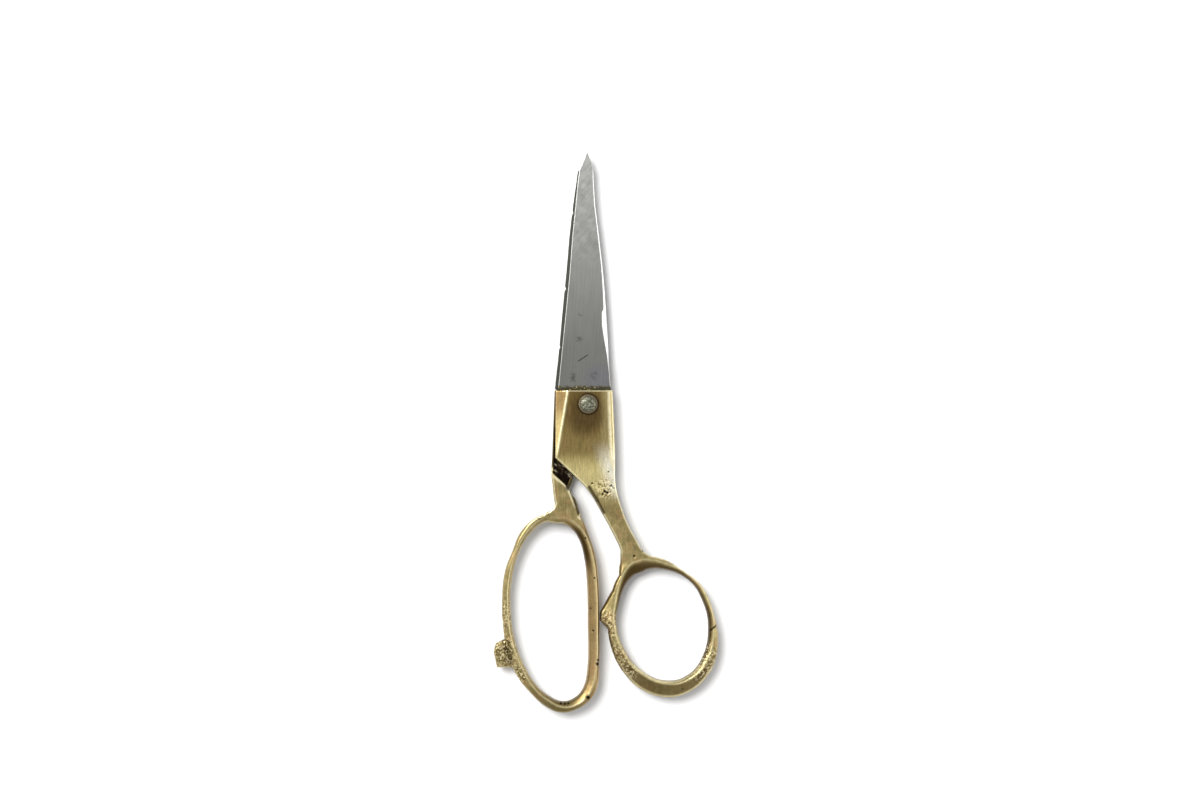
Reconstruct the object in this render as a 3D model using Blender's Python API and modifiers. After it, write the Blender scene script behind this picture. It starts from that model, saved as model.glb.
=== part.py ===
"""Tailor's shears, closed, lying flat with the tips towards +Y and the thumb half on top.

Each half is a steel blade whose tang sits in a brass handle cast round it. The two halves
turn about one peened rivet, which clamps a washer on each outer face. X = Y = 0 is the
rivet's axis, and Z = 0 is the flat lower end of the rivet. All sizes are in metres.
"""
import math

import bmesh
import bpy

# Blades. The cutting edge is ground on one side of each blade and the spine is on the other.
BLADE_LENGTH = 0.0909       # rivet axis to tip
TIP_OFFSET = -0.0004        # the tip's place across the axis
STEEL = 0.0022              # thickness at the bolster
TIP_STEEL = 0.0011          # thickness near the tip
NOSE_LENGTH = 0.0061        # the short blunt run up to the tip
NOSE_WIDTH = 0.0047         # blade width where the nose starts
NOSE_CENTRE = -0.0006       # middle of the blade where the nose starts
TIP_WIDTH = 0.0005
BELLY = 0.0009              # how far the cutting edge bows out of a straight line
EDGE_BEVEL = 0.0020         # width of the ground bevel
GRIND_START = 0.0008        # end of the brass up to the full bevel
EDGE_LAND = 0.0003          # steel left at the cutting edge
SPINE_CHAMFER = 0.0005
BLADE_STATIONS = 9

# Bolsters: the flat brass round the rivet.
BOLSTER_WIDTH = 0.0206      # at the end of the brass
BOLSTER_FLARE = 0.0009      # how much wider it is at the shoulder, on the cutting-edge side
BOLSTER_TOP = 0.0050        # rivet axis up to the end of the brass
SHOULDER = 0.0195           # rivet axis down to the top of the slanted shoulder
HALF_DEPTH = 0.0038         # ride plane to the outer face of bolster and shank
BOW_HALF_DEPTH = 0.0036     # ride plane to the outer face of the bows
WRAP = 0.0009               # brass down each side of the steel
TANG_WALL = 0.0016          # brass each side of the tang inside the shank
LIP_DROP = 0.0063           # other half's shoulder down to the lip where this half is full depth
RIM = 0.0007                # rounding of the casting's edges
WIDE_CHAMFER = 0.0046       # spine side, at the end of the brass
WIDE_CHAMFER_END = 0.0005   # the same at the shoulder
WIDE_CHAMFER_DEPTH = 0.0009
SLIM_CHAMFER = 0.0017       # cutting-edge side
SLIM_CHAMFER_DEPTH = 0.0007
SLIM_CHAMFER_DROP = 0.0250  # rivet axis down to where it fades out
THUMB_BOLSTER_X = -0.0015   # middle of the bolster across the axis
FINGER_BOLSTER_X = -0.0019

# Thumb half: shank and round bow.
THUMB_NECK_X, THUMB_NECK_DROP = 0.0028, 0.0268
THUMB_TANG_END = 0.0440     # rivet axis down to the end of the steel
THUMB_HOLE_WIDTH, THUMB_HOLE_LENGTH = 0.0332, 0.0405
THUMB_HOLE_DROP = 0.0597    # rivet axis down to the top of the hole
THUMB_BAR_LEFT, THUMB_BAR_RIGHT = 0.0031, 0.0036
THUMB_BAR_TOP, THUMB_BAR_BOTTOM = 0.0043, 0.0060
BOW_SPACING = 0.0031        # finger bow to thumb bow, closed

# Finger half: short shank and long bow.
FINGER_NECK_X, FINGER_NECK_DROP = -0.0094, 0.0260
FINGER_TANG_END = 0.0360
FINGER_HOLE_WIDTH, FINGER_HOLE_LENGTH = 0.0279, 0.0651
FINGER_HOLE_DROP = 0.0425
FINGER_HOLE_RIGHT = -0.0002  # right-hand side of the hole
FINGER_BAR_LEFT, FINGER_BAR_RIGHT = 0.0031, 0.0042
FINGER_BAR_TOP, FINGER_BAR_BOTTOM = 0.0030, 0.0041

# Stop nub on the thumb bow, and casting stub on the finger bow.
NUB_DROP = 0.0768           # rivet axis down to the middle of the nub's face
NUB_FACE = 0.0030
NUB_RISE, NUB_FALL = 0.0095, 0.0062   # middle of the face up and down to where the nub ends
NUB_HALF_DEPTH = 0.0028
STUB_DROP = 0.0895          # rivet axis down to the middle of the stub
STUB_LENGTH, STUB_WIDTH = 0.0050, 0.0116
STUB_HALF_DEPTH = 0.0030

# Rivet and washers.
RIVET_RADIUS = 0.0020
HEAD_RADIUS = 0.0028
HEAD_HEIGHT = 0.0013
TAIL_FLAT_RADIUS = 0.0019
WASHER_RADIUS = 0.0039
WASHER = 0.0008
WASHER_EDGE = 0.0002

# Clearances.
RIDE_GAP = 0.0003           # between the two halves
CAST_FIT = 0.0002           # between the steel and the brass round it
RIVET_FIT = 0.00008         # round the rivet
STACK_FIT = 0.0001          # between rivet head, washer and bolster
STOP_GAP = 0.0003           # between the nub and the finger bow, closed

# How finely curves are divided, and how far cutters run past what they cut.
CURVE_STEPS = 4
RIM_STEPS = 1
ROUND_STEPS = 48
DOME_STEPS = 5
WELD = 0.000001
SHARP_ANGLE = 32            # degrees
OVERCUT = 0.004
SLAB = 0.060

RIDE_HEIGHT = HEAD_HEIGHT + WASHER + 2 * STACK_FIT + HALF_DEPTH

# Plan shapes of the bows in their own boxes, from -1 to 1 across and along, clockwise from the top.
THUMB_HOLE_SHAPE = (
    (-0.07, 1.00), (0.57, 0.80), (0.88, 0.42), (1.00, -0.05), (0.86, -0.60), (0.55, -0.90),
    (0.14, -1.00), (-0.38, -0.86), (-0.82, -0.45), (-1.00, 0.07), (-0.94, 0.37), (-0.84, 0.64),
    (-0.66, 0.85), (-0.39, 0.965),
)
THUMB_RING_SHAPE = (
    (-0.13, 1.00), (0.41, 0.78), (0.72, 0.57), (0.94, 0.14), (1.00, -0.16), (0.95, -0.47),
    (0.78, -0.72), (0.48, -0.92), (0.10, -1.00), (-0.39, -0.89), (-0.69, -0.67), (-0.91, -0.36),
    (-1.00, 0.02), (-0.95, 0.42), (-0.81, 0.73), (-0.52, 0.95),
)
FINGER_HOLE_SHAPE = (
    (0.06, 1.00), (0.30, 0.985), (0.57, 0.92), (0.76, 0.815), (0.90, 0.62), (0.98, 0.31), (1.00, -0.15),
    (0.99, -0.64), (0.88, -0.85), (0.66, -0.96), (0.36, -1.00), (0.03, -0.95), (-0.35, -0.81),
    (-0.69, -0.56), (-0.90, -0.30), (-1.00, 0.05), (-0.95, 0.40), (-0.73, 0.70), (-0.48, 0.868),
    (-0.20, 0.972),
)
FINGER_BOW_SHAPE = (
    (0.20, 1.00), (0.60, 0.965), (0.67, 0.92), (0.77, 0.80), (0.90, 0.62), (0.97, 0.42), (1.00, -0.07),
    (1.00, -0.50), (0.955, -0.755), (0.80, -0.88), (0.48, -0.98), (0.20, -1.00), (-0.07, -0.95),
    (-0.40, -0.81), (-0.68, -0.64), (-0.87, -0.44), (-0.97, -0.18), (-1.00, 0.15), (-0.94, 0.42),
    (-0.78, 0.63), (-0.62, 0.81), (-0.31, 0.95),
)

# Shanks: share of the way from neck to root, sway off the straight line, width across X.
# The root lies in the bow's bar beside the top of its hole.
THUMB_SHANK_SHAPE = (
    (0.00, 0.0000, 0.0138), (0.12, 0.0011, 0.0103), (0.33, 0.0025, 0.0079),
    (0.48, 0.0036, 0.0071), (0.63, 0.0050, 0.0073), (0.73, 0.0058, 0.0079),
    (0.79, 0.0067, 0.0109), (0.85, 0.0084, 0.0155), (0.90, 0.0061, 0.0125),
    (1.00, 0.0008, 0.0030),
)
FINGER_SHANK_SHAPE = (
    (0.00, 0.0000, 0.0079), (0.15, 0.0000, 0.0070), (0.32, -0.0002, 0.0059),
    (0.56, 0.0014, 0.0079), (0.66, 0.0018, 0.0081), (0.79, 0.0014, 0.0100),
    (0.90, 0.0004, 0.0135), (1.00, 0.0000, 0.0125),
)
THUMB_ROOT_INSET, THUMB_ROOT_DEPTH = 0.0053, 0.0028   # from the bow's left side, below its hole's top
FINGER_ROOT_INSET, FINGER_ROOT_DEPTH = 0.0139, -0.0007  # from the bow's right side


def clear_scene():
    for thing in list(bpy.data.objects):
        bpy.data.objects.remove(thing, do_unlink=True)


def new_collection(name):
    group = bpy.data.collections.new(name)
    bpy.context.scene.collection.children.link(group)
    return group


def metal(name, colour, roughness):
    finish = bpy.data.materials.new(name)
    finish.use_nodes = True
    shader = finish.node_tree.nodes["Principled BSDF"]
    shader.inputs["Base Color"].default_value = (*colour, 1.0)
    shader.inputs["Metallic"].default_value = 1.0
    shader.inputs["Roughness"].default_value = roughness
    return finish


def add_object(name, mesh, group, parent=None):
    thing = bpy.data.objects.new(name, mesh)
    group.objects.link(thing)
    thing.parent = parent
    return thing


def add_spline(curve, points, corners):
    spline = curve.splines.new("BEZIER")
    spline.bezier_points.add(len(points) - 1)
    for index, (knot, (x, y)) in enumerate(zip(spline.bezier_points, points)):
        knot.co = (x, y, 0.0)
        kind = "VECTOR" if index in corners else "AUTO"
        knot.handle_left_type = kind
        knot.handle_right_type = kind
    spline.use_cyclic_u = True


def plate_mesh(name, outlines, low, high, rim):
    """Flat outlines in XY as one closed mesh from z = low to high, its edges rounded by rim."""
    curve = bpy.data.curves.new(name, "CURVE")
    curve.dimensions = "2D"
    curve.fill_mode = "BOTH"
    curve.resolution_u = CURVE_STEPS
    curve.extrude = (high - low) / 2 - rim
    if rim:
        curve.bevel_depth = rim
        curve.bevel_resolution = RIM_STEPS
        curve.offset = -rim
    for points, corners in outlines:
        add_spline(curve, points, corners)
    guide = bpy.data.objects.new(name, curve)
    bpy.context.scene.collection.objects.link(guide)
    evaluated = guide.evaluated_get(bpy.context.evaluated_depsgraph_get())
    mesh = bpy.data.meshes.new_from_object(evaluated)
    bpy.data.objects.remove(guide, do_unlink=True)
    shape = bmesh.new()
    shape.from_mesh(mesh)
    bmesh.ops.translate(shape, verts=shape.verts, vec=(0.0, 0.0, (low + high) / 2))
    bmesh.ops.remove_doubles(shape, verts=shape.verts, dist=WELD)
    bmesh.ops.recalc_face_normals(shape, faces=shape.faces)
    shape.to_mesh(mesh)
    shape.free()
    mesh.shade_smooth()
    mesh.set_sharp_from_angle(angle=math.radians(SHARP_ANGLE))
    return mesh


def loft_mesh(name, sections):
    """Closed mesh through rings of corners, which all have the same number of corners."""
    shape = bmesh.new()
    rings = [[shape.verts.new(corner) for corner in section] for section in sections]
    count = len(rings[0])
    for ring, following in zip(rings, rings[1:]):
        for here in range(count):
            after = (here + 1) % count
            shape.faces.new((ring[here], ring[after], following[after], following[here]))
    shape.faces.new(rings[0])
    shape.faces.new(rings[-1])
    bmesh.ops.recalc_face_normals(shape, faces=shape.faces)
    mesh = bpy.data.meshes.new(name)
    shape.to_mesh(mesh)
    shape.free()
    return mesh


def turned(name, profile, closed, group, parent):
    """Solid of revolution about Z from (radius, z) points that run down its outer side."""
    mesh = bpy.data.meshes.new(name)
    count = len(profile)
    edges = [(here, here + 1) for here in range(count - 1)]
    if closed:
        edges.append((count - 1, 0))
    mesh.from_pydata([(radius, 0.0, z) for radius, z in profile], edges, [])
    thing = add_object(name, mesh, group, parent)
    screw = thing.modifiers.new("turn", "SCREW")
    screw.steps = ROUND_STEPS
    screw.render_steps = ROUND_STEPS
    screw.use_merge_vertices = True
    screw.merge_threshold = WELD
    screw.use_smooth_shade = True
    return thing


def boolean(target, tool, operation):
    tool.hide_render = True
    tool.display_type = "WIRE"
    step = target.modifiers.new(f"{operation.lower()} {tool.name}", "BOOLEAN")
    step.operation = operation
    step.solver = "EXACT"
    step.object = tool


def in_box(shape, left, right, top, bottom):
    """Points of a plan shape given from -1 to 1, placed in a box."""
    middle_x = (left + right) / 2
    middle_y = (top + bottom) / 2
    half_x = (right - left) / 2
    half_y = (top - bottom) / 2
    return [(middle_x + across * half_x, middle_y + along * half_y) for across, along in shape]


def shank_stations(shape, neck_x, neck_drop, root_x, root_drop):
    """(y, left, right) slices of a shank from its neck to its root in the bow."""
    stations = []
    for share, sway, width in shape:
        middle = neck_x + (root_x - neck_x) * share + sway
        y = -(neck_drop + (root_drop - neck_drop) * share)
        stations.append((y, middle - width / 2, middle + width / 2))
    return stations


def finger_bow_box():
    """Left, right, top and bottom of the finger hole, then of the bow round it."""
    right = FINGER_HOLE_RIGHT
    left = right - FINGER_HOLE_WIDTH
    top = -FINGER_HOLE_DROP
    bottom = top - FINGER_HOLE_LENGTH
    outer = (left - FINGER_BAR_LEFT, right + FINGER_BAR_RIGHT,
             top + FINGER_BAR_TOP, bottom - FINGER_BAR_BOTTOM)
    return (left, right, top, bottom), outer


def thumb_bow_box():
    """The same for the thumb bow, which lies beside the finger bow."""
    finger_outer = finger_bow_box()[1]
    left = finger_outer[1] + BOW_SPACING + THUMB_BAR_LEFT
    right = left + THUMB_HOLE_WIDTH
    top = -THUMB_HOLE_DROP
    bottom = top - THUMB_HOLE_LENGTH
    outer = (left - THUMB_BAR_LEFT, right + THUMB_BAR_RIGHT,
             top + THUMB_BAR_TOP, bottom - THUMB_BAR_BOTTOM)
    return (left, right, top, bottom), outer


def at_height(stations, y):
    """Left and right of a station list at height y, and of its nearest end beyond them."""
    if y >= stations[0][0]:
        return stations[0][1:]
    for (y_up, left_up, right_up), (y_low, left_low, right_low) in zip(stations, stations[1:]):
        if y >= y_low:
            share = (y_up - y) / (y_up - y_low)
            return (left_up + (left_low - left_up) * share,
                    right_up + (right_low - right_up) * share)
    return stations[-1][1:]


class Half:
    """The plan of one half. outward is +1 for the upper half, edge is the side of its cutting edge."""

    def __init__(self, outward, edge, bolster_x, neck, shank_shape, root, tang_end):
        self.outward = outward
        self.edge = edge
        left = bolster_x - BOLSTER_WIDTH / 2
        right = bolster_x + BOLSTER_WIDTH / 2
        low_left = left - (BOLSTER_FLARE if edge < 0 else 0.0)
        low_right = right + (BOLSTER_FLARE if edge > 0 else 0.0)
        self.stations = [(BOLSTER_TOP, left, right), (-SHOULDER, low_left, low_right)]
        self.stations += shank_stations(shank_shape, *neck, *root)
        self.tang_end = tang_end

    def sides(self, y):
        return at_height(self.stations, y)

    def shoulder(self):
        """The two ends of the slanted shoulder, which is on the side away from the cutting edge."""
        upper, lower = self.stations[1], self.stations[2]
        pick = 1 if self.edge > 0 else 2
        return (upper[pick], upper[0]), (lower[pick], lower[0])

    def outline(self):
        """Closed plan of bolster and shank, clockwise, with the places of its sharp corners."""
        right_side = [(right, y) for y, left, right in self.stations]
        left_side = [(left, y) for y, left, right in reversed(self.stations)]
        last = len(right_side) + len(left_side) - 1
        corners = {0, last}
        if self.edge > 0:
            corners |= {last - 1, last - 2}
        else:
            corners |= {1, 2}
        return right_side + left_side, corners

    def height(self, distance):
        """z of a point at a distance outward from the ride plane."""
        return self.outward * distance

    def slab(self, near, far):
        """Lower and upper z of a layer between two distances from the ride plane."""
        return sorted((self.height(near), self.height(far)))


def tang_sides(half, y, grow):
    """Left and right of the steel at y below the end of the brass."""
    left, right = half.sides(y)
    neck_y = half.stations[2][0]
    wall = WRAP if y >= neck_y else TANG_WALL
    return left + wall - grow, right - wall + grow


def tang_heights(half):
    """The tang's stations, from its end in the shank up to the top of the brass."""
    neck_y = half.stations[2][0]
    shoulder_mid = (neck_y - SHOULDER) / 2
    shank = [y for y, left, right in half.stations[3:] if y > -half.tang_end + TANG_WALL]
    return [-half.tang_end, *reversed(shank), neck_y, shoulder_mid, -SHOULDER, BOLSTER_TOP]


def steel_section(half, y, left, right, steel, bevel, land, chamfer, grow):
    """Six corners across the steel at y, from the cutting edge round to the spine."""
    if half.edge > 0:
        edge_x, spine_x, inward = right, left, -1
    else:
        edge_x, spine_x, inward = left, right, 1
    near = RIDE_GAP / 2 - grow
    far = RIDE_GAP / 2 + steel + grow
    corners = (
        (edge_x, near), (edge_x, near + land), (edge_x + inward * bevel, far),
        (spine_x - inward * chamfer, far), (spine_x, far - chamfer), (spine_x, near),
    )
    return [(x, y, half.height(distance)) for x, distance in corners]


def blade_sides(half, share):
    """Left and right of the blade at a share of the way from the brass to the nose."""
    left, right = tang_sides(half, BOLSTER_TOP, 0.0)
    nose_left = NOSE_CENTRE - NOSE_WIDTH / 2
    nose_right = NOSE_CENTRE + NOSE_WIDTH / 2
    belly = BELLY * 4 * share * (1 - share)
    left += (nose_left - left) * share
    right += (nose_right - right) * share
    if half.edge > 0:
        right += belly
    else:
        left -= belly
    return left, right


def tang_sections(half, grow):
    broken = CAST_FIT
    land = STEEL + 2 * grow - broken
    return [
        steel_section(half, y, *tang_sides(half, y, grow), STEEL, broken, land, broken, grow)
        for y in tang_heights(half)
    ]


def make_blade(name, half, finish, group, parent):
    """Steel blade and tang in one piece, tapering in thickness to the tip."""
    sections = tang_sections(half, 0.0)
    nose_y = BLADE_LENGTH - NOSE_LENGTH
    run = nose_y - BOLSTER_TOP
    stations = [index / BLADE_STATIONS for index in range(1, BLADE_STATIONS + 1)]
    shares = [GRIND_START / run, *stations]
    for share in shares:
        y = BOLSTER_TOP + run * share
        left, right = blade_sides(half, share)
        steel = STEEL + (TIP_STEEL - STEEL) * share
        bevel = min(EDGE_BEVEL, (right - left) / 3)
        sections.append(steel_section(half, y, left, right, steel, bevel, EDGE_LAND,
                                      SPINE_CHAMFER, 0.0))
    tip_left = TIP_OFFSET - TIP_WIDTH / 2
    tip_right = TIP_OFFSET + TIP_WIDTH / 2
    sections.append(steel_section(half, BLADE_LENGTH, tip_left, tip_right, TIP_STEEL,
                                  TIP_WIDTH / 3, EDGE_LAND, TIP_WIDTH / 3, 0.0))
    blade = add_object(name, loft_mesh(name, sections), group, parent)
    blade.data.materials.append(finish)
    return blade


def make_pocket(name, half, cutters, parent):
    """Space for the tang in the brass, open at the top and on the ride face of the bolster."""
    sections = tang_sections(half, CAST_FIT)
    top = [(x, y + OVERCUT, z) for x, y, z in sections[-1]]
    end = [(x, y - CAST_FIT, z) for x, y, z in sections[0]]
    return add_object(name, loft_mesh(name, [end, *sections, top]), cutters, parent)


def make_other_half_space(name, half, other, cutters, parent):
    """Everything on the far side of the ride plane above the lip, where the other half lies."""
    (start_x, start_y), (end_x, end_y) = other.shoulder()
    slope = (end_y - start_y) / (end_x - start_x)
    lip_left = start_y - LIP_DROP + slope * (-SLAB - start_x)
    lip_right = start_y - LIP_DROP + slope * (SLAB - start_x)
    points = [(-SLAB, 2 * SLAB), (SLAB, 2 * SLAB), (SLAB, lip_right), (-SLAB, lip_left)]
    low, high = half.slab(-SLAB / 2, RIDE_GAP / 2)
    mesh = plate_mesh(name, [(points, {0, 1, 2, 3})], low, high, 0.0)
    return add_object(name, mesh, cutters, parent)


def make_bore(name, cutters, parent):
    mesh = bpy.data.meshes.new(name)
    shape = bmesh.new()
    bmesh.ops.create_cone(shape, cap_ends=True, segments=ROUND_STEPS, depth=4 * HALF_DEPTH,
                          radius1=RIVET_RADIUS + RIVET_FIT, radius2=RIVET_RADIUS + RIVET_FIT)
    shape.to_mesh(mesh)
    shape.free()
    return add_object(name, mesh, cutters, parent)


def make_chamfer(name, half, side, top_width, depth, end_y, end_width, cutters, parent):
    """Wedge that takes the outer corner off one side of the bolster."""
    sections = []
    for y, width in ((BOLSTER_TOP + OVERCUT, top_width), (end_y, end_width)):
        outer_x = half.sides(y)[0 if side < 0 else 1]
        beyond_x = outer_x + side * OVERCUT
        drop = depth * width / top_width
        low = HALF_DEPTH - drop * (1 + OVERCUT / width)
        inner_x = outer_x - side * width
        corners = ((inner_x, HALF_DEPTH), (beyond_x, low), (beyond_x, HALF_DEPTH + OVERCUT),
                   (inner_x, HALF_DEPTH + OVERCUT))
        sections.append([(x, y, half.height(distance)) for x, distance in corners])
    return add_object(name, loft_mesh(name, sections), cutters, parent)


def make_bow(name, hole_shape, bow_shape, boxes, cutters, parent):
    """Finger loop of full depth with its hole."""
    hole_box, bow_box = boxes
    outlines = [(in_box(bow_shape, *bow_box), set()), (in_box(hole_shape, *hole_box), set())]
    mesh = plate_mesh(name, outlines, -BOW_HALF_DEPTH, BOW_HALF_DEPTH, RIM)
    return add_object(name, mesh, cutters, parent)


def make_handle(name, half, other, bow, extra, bore, finish, group, cutters, parent):
    """Brass casting: bolster and shank, joined to its bow, then cut for its steel."""
    outline = half.outline()
    handle = add_object(name, plate_mesh(name, [outline], -HALF_DEPTH, HALF_DEPTH, RIM),
                        group, parent)
    handle.data.materials.append(finish)
    space = make_other_half_space(f"{name}_space", half, other, cutters, parent)
    boolean(handle, space, "DIFFERENCE")
    for piece in (bow, extra):
        boolean(handle, piece, "UNION")
    wide = make_chamfer(f"{name}_wide_chamfer", half, -half.edge, WIDE_CHAMFER,
                        WIDE_CHAMFER_DEPTH, -SHOULDER, WIDE_CHAMFER_END, cutters, parent)
    slim = make_chamfer(f"{name}_slim_chamfer", half, half.edge, SLIM_CHAMFER,
                        SLIM_CHAMFER_DEPTH, -SLIM_CHAMFER_DROP, SLIM_CHAMFER, cutters, parent)
    boolean(handle, wide, "DIFFERENCE")
    boolean(handle, slim, "DIFFERENCE")
    boolean(handle, make_pocket(f"{name}_pocket", half, cutters, parent), "DIFFERENCE")
    boolean(handle, bore, "DIFFERENCE")
    return handle


def make_nub(cutters, parent):
    """Wedge on the thumb bow whose flat nose meets the finger bow when the shears close."""
    face_x = finger_bow_box()[1][1] + STOP_GAP
    base_x = thumb_bow_box()[0][0] - THUMB_BAR_LEFT / 2
    points = [(face_x, -NUB_DROP + NUB_FACE / 2), (base_x, -NUB_DROP + NUB_RISE),
              (base_x, -NUB_DROP - NUB_FALL), (face_x, -NUB_DROP - NUB_FACE / 2)]
    mesh = plate_mesh("stop_nub", [(points, set(range(4)))], -NUB_HALF_DEPTH, NUB_HALF_DEPTH, 0.0)
    return add_object("stop_nub", mesh, cutters, parent)


def left_side(points, y):
    """Lowest x where a closed plan crosses height y."""
    crossings = []
    for (start_x, start_y), (end_x, end_y) in zip(points, points[1:] + points[:1]):
        if min(start_y, end_y) <= y < max(start_y, end_y):
            crossings.append(start_x + (end_x - start_x) * (y - start_y) / (end_y - start_y))
    return min(crossings)


def make_stub(cutters, parent):
    """What is left of the casting gate on the outer side of the finger bow."""
    surface_x = left_side(in_box(FINGER_BOW_SHAPE, *finger_bow_box()[1]), -STUB_DROP)
    hidden_x = surface_x + FINGER_BAR_LEFT / 2
    face_x = surface_x - STUB_LENGTH
    points = [(hidden_x, -STUB_DROP + STUB_WIDTH / 2),
              (face_x + STUB_LENGTH / 6, -STUB_DROP + STUB_WIDTH / 4), (face_x, -STUB_DROP),
              (face_x + STUB_LENGTH / 4, -STUB_DROP - STUB_WIDTH / 2),
              (hidden_x, -STUB_DROP - STUB_WIDTH / 2)]
    mesh = plate_mesh("gate_stub", [(points, set(range(5)))], -STUB_HALF_DEPTH,
                      STUB_HALF_DEPTH, 0.0)
    return add_object("gate_stub", mesh, cutters, parent)


def make_rivet(name, finish, group, parent):
    """Round shaft with a domed head above and a flatter peened tail below."""
    seat = HALF_DEPTH + WASHER + 2 * STACK_FIT
    dome = []
    rim_height = HEAD_HEIGHT / 4
    for index in range(DOME_STEPS + 1):
        turn = math.pi / 2 * index / DOME_STEPS
        dome.append((HEAD_RADIUS * math.sin(turn),
                     seat + rim_height + (HEAD_HEIGHT - rim_height) * math.cos(turn)))
    profile = dome + [
        (HEAD_RADIUS, seat), (RIVET_RADIUS, seat), (RIVET_RADIUS, -seat), (HEAD_RADIUS, -seat),
        (HEAD_RADIUS, -seat - rim_height), (TAIL_FLAT_RADIUS, -seat - HEAD_HEIGHT),
        (0.0, -seat - HEAD_HEIGHT),
    ]
    rivet = turned(name, profile, False, group, parent)
    rivet.data.materials.append(finish)
    return rivet


def make_washer(name, outward, finish, group, parent):
    near = outward * (HALF_DEPTH + STACK_FIT)
    far = outward * (HALF_DEPTH + STACK_FIT + WASHER)
    low, high = sorted((near, far))
    inner = RIVET_RADIUS + RIVET_FIT
    profile = [
        (WASHER_RADIUS - WASHER_EDGE, high), (WASHER_RADIUS, high - WASHER_EDGE),
        (WASHER_RADIUS, low + WASHER_EDGE), (WASHER_RADIUS - WASHER_EDGE, low),
        (inner, low), (inner, high),
    ]
    washer = turned(name, profile, True, group, parent)
    washer.data.materials.append(finish)
    return washer


def main():
    clear_scene()
    shears = new_collection("shears")
    cutters = new_collection("cutters")
    brass = metal("cast_brass", (0.58, 0.45, 0.22), 0.38)
    steel = metal("ground_steel", (0.50, 0.51, 0.50), 0.34)
    rivet_steel = metal("peened_steel", (0.36, 0.35, 0.33), 0.42)

    pivot = bpy.data.objects.new("pivot_on_ride_plane", None)
    pivot.location = (0.0, 0.0, RIDE_HEIGHT)
    shears.objects.link(pivot)

    thumb_root = (thumb_bow_box()[1][0] + THUMB_ROOT_INSET, THUMB_HOLE_DROP + THUMB_ROOT_DEPTH)
    finger_root = (finger_bow_box()[1][1] - FINGER_ROOT_INSET,
                   FINGER_HOLE_DROP + FINGER_ROOT_DEPTH)
    thumb = Half(1, 1, THUMB_BOLSTER_X, (THUMB_NECK_X, THUMB_NECK_DROP), THUMB_SHANK_SHAPE,
                 thumb_root, THUMB_TANG_END)
    finger = Half(-1, -1, FINGER_BOLSTER_X, (FINGER_NECK_X, FINGER_NECK_DROP),
                  FINGER_SHANK_SHAPE, finger_root, FINGER_TANG_END)

    bore = make_bore("rivet_bore", cutters, pivot)
    for name, half in (("thumb_blade", thumb), ("finger_blade", finger)):
        blade = make_blade(name, half, steel, shears, pivot)
        boolean(blade, bore, "DIFFERENCE")

    thumb_bow = make_bow("thumb_bow", THUMB_HOLE_SHAPE, THUMB_RING_SHAPE, thumb_bow_box(),
                         cutters, pivot)
    finger_bow = make_bow("finger_bow", FINGER_HOLE_SHAPE, FINGER_BOW_SHAPE, finger_bow_box(),
                          cutters, pivot)
    make_handle("thumb_handle", thumb, finger, thumb_bow, make_nub(cutters, pivot), bore, brass,
                shears, cutters, pivot)
    make_handle("finger_handle", finger, thumb, finger_bow, make_stub(cutters, pivot), bore,
                brass, shears, cutters, pivot)

    make_rivet("pivot_rivet", rivet_steel, shears, pivot)
    make_washer("head_washer", 1, rivet_steel, shears, pivot)
    make_washer("tail_washer", -1, rivet_steel, shears, pivot)


main()
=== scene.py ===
"""Tailor's shears with cast brass handles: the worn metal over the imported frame."""

import itertools
import math

import bmesh
import bpy
import numpy as np
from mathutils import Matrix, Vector


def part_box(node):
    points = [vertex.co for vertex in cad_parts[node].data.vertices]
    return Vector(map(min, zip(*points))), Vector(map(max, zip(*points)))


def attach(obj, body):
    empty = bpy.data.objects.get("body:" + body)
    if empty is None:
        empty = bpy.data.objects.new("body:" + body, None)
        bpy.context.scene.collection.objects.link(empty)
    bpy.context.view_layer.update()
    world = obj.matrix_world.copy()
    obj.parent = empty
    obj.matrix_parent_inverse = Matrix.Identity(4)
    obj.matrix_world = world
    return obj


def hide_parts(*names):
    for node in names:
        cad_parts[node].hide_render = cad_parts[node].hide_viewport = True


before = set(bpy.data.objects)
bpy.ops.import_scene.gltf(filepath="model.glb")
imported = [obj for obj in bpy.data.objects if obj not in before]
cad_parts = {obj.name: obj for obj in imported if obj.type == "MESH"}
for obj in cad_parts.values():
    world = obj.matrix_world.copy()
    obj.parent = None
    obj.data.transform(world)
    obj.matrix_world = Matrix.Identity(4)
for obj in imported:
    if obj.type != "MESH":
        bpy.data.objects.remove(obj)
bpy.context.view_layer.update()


# Thumb handle. Brass cast in sand round the tang of the upper blade: a flat ground bolster, a
# slanted shank, and a round bow with a filed ridge and a stop nub. It is left as cast at the
# back of the bow, and its edges are worn bright, with painted highlights along them.
MM = 0.001
RIDE = (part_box("pivot_rivet")[0].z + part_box("pivot_rivet")[1].z) / 2 / MM
GRID = 0.25                 # spacing of the grid that the castings are skinned on
PLAN_MARGIN, DEPTH_MARGIN = 1.0, 0.6
RIDE_FACE = 0.15            # each half stops this far short of the ride plane
BOLSTER_DEPTH, BOW_DEPTH = 3.8, 3.6
PLAN_LEVEL = 2.7            # where the CAD handle shows its whole outline
TANG_LEVEL = 1.2            # where the CAD blade shows its whole tang
BORE = 2.15
TANG_NEAR, TANG_FAR = -0.1, 2.6
TANG_CLEARANCE = 0.2
COARSE_SAND, FINE_SAND = 1.3, 0.55      # size of the lumps that the casting sand left
INNER_SLOPE = 0.62          # of a bow, from its filed ridge down to the hole
OUTER_FALL, OUTER_FALL_WIDTH = 0.9, 3.6
RIDGE_ROUND, RIDGE_PROUD = 0.25, 0.06
SPINE_CHAMFER = 4.6         # widest, at the end of the brass
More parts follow.
